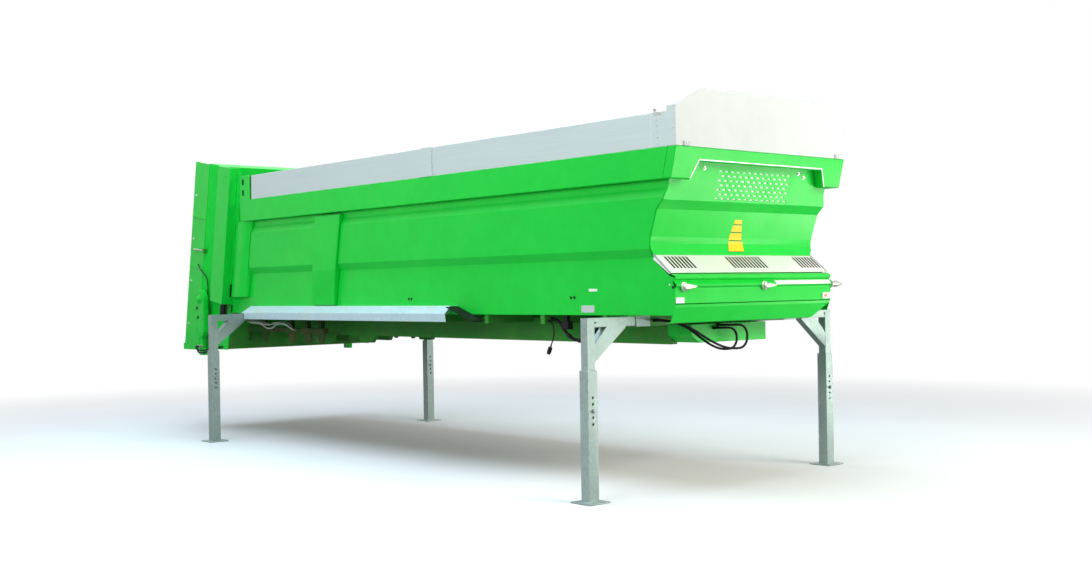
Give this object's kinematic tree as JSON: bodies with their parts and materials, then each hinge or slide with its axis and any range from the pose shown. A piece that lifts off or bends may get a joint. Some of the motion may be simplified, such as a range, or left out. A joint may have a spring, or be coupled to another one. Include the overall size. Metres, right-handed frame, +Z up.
{
  "type": "manure spreader body",
  "caption": "Swap-body manure spreader parked on telescopic legs, with a lifting rear door, scraper floor and upright beaters.",
  "frame": {"origin": "middle of the bounding box on the ground plane under the feet", "axes": "+X forward to the headboard, +Y to the left of the machine, +Z up"},
  "size_m": [9.513, 3.616, 3.7058],
  "materials": {
    "green_paint": "gloss paint",
    "dark_green_paint": "chassis paint, satin",
    "beater_paint": "paint worn at the edges",
    "aluminium_board": "mill-finish aluminium",
    "white_panel": "white powder coat",
    "bare_steel": "worn bare steel",
    "galvanised_steel": "hot-dip galvanised",
    "black_rubber": "matt rubber",
    "black_paint": "black satin paint",
    "chrome_rod": "polished hard chrome"
  },
  "bodies": {
    "body": {"side_wall_right": "green_paint", "side_wall_left": "green_paint", "mid_post_right": "green_paint", "mid_post_left": "green_paint", "rear_post_right": "green_paint", "rear_post_left": "green_paint", "top_rail_right": "green_paint", "top_rail_left": "green_paint", "front_rail": "green_paint", "front_wall": "green_paint", "front_cover": "green_paint", "lower_cover": "green_paint", "front_box": "green_paint", "chain_drive": "green_paint", "rear_column_right": "green_paint", "rear_column_left": "green_paint", "top_beam": "green_paint", "spreader_side_right": "green_paint", "spreader_side_left": "green_paint", "floor": "dark_green_paint", "subframe": "dark_green_paint", "spreader_base": "dark_green_paint", "side_board_right": "aluminium_board", "side_board_left": "aluminium_board", "board_stake_right": "aluminium_board", "board_stake_left": "aluminium_board", "step_shelf": "aluminium_board", "headboard": "white_panel", "floor_chain": "bare_steel", "mudguard_right": "galvanised_steel", "mudguard_left": "galvanised_steel", "leg_bracket_front_right": "galvanised_steel", "leg_bracket_front_left": "galvanised_steel", "leg_bracket_rear_right": "galvanised_steel", "leg_bracket_rear_left": "galvanised_steel", "mud_flap_right": "black_rubber", "mud_flap_left": "black_rubber", "drive_hose_rear": "black_rubber", "drive_hose_front": "black_rubber", "cable_bundle": "black_rubber", "lamp_cable": "black_rubber", "lamp_plug": "black_rubber", "door_cylinder_right": "black_paint", "door_cylinder_left": "black_paint"},
    "door": {"guillotine_door": "green_paint", "door_rod_right": "chrome_rod", "door_rod_left": "chrome_rod"},
    "beater_right": {"beater_right": "beater_paint"},
    "beater_left": {"beater_left": "beater_paint"},
    "leg_tube_front_right": {"leg_tube_front_right": "galvanised_steel"},
    "leg_tube_front_left": {"leg_tube_front_left": "galvanised_steel"},
    "leg_tube_rear_right": {"leg_tube_rear_right": "galvanised_steel"},
    "leg_tube_rear_left": {"leg_tube_rear_left": "galvanised_steel"}
  },
  "joints": [
    {"name": "beater_right_spin", "type": "hinge", "parent": "body", "child": "beater_right", "pos_m": [-4.25274, -0.52, 1.72213], "axis": [0.1702, 0, 0.9854], "continuous": true},
    {"name": "beater_left_spin", "type": "hinge", "parent": "body", "child": "beater_left", "pos_m": [-4.25274, 0.52, 1.72213], "axis": [0.1702, 0, 0.9854], "continuous": true},
    {"name": "door_lift", "type": "slide", "parent": "body", "child": "door", "axis": [0.1702, 0, 0.9854], "range_m": [0, 1.2]},
    {"name": "leg_front_right_extend", "type": "slide", "parent": "body", "child": "leg_tube_front_right", "axis": [0, 0, -1], "range_m": [0, 0.3]},
    {"name": "leg_front_left_extend", "type": "slide", "parent": "body", "child": "leg_tube_front_left", "axis": [0, 0, -1], "range_m": [0, 0.3]},
    {"name": "leg_rear_right_extend", "type": "slide", "parent": "body", "child": "leg_tube_rear_right", "axis": [0, 0, -1], "range_m": [0, 0.3]},
    {"name": "leg_rear_left_extend", "type": "slide", "parent": "body", "child": "leg_tube_rear_left", "axis": [0, 0, -1], "range_m": [0, 0.3]}
  ],
  "couplings": [
    {"joint": "beater_left_spin", "follows": "beater_right_spin", "ratio": -1}
  ]
}
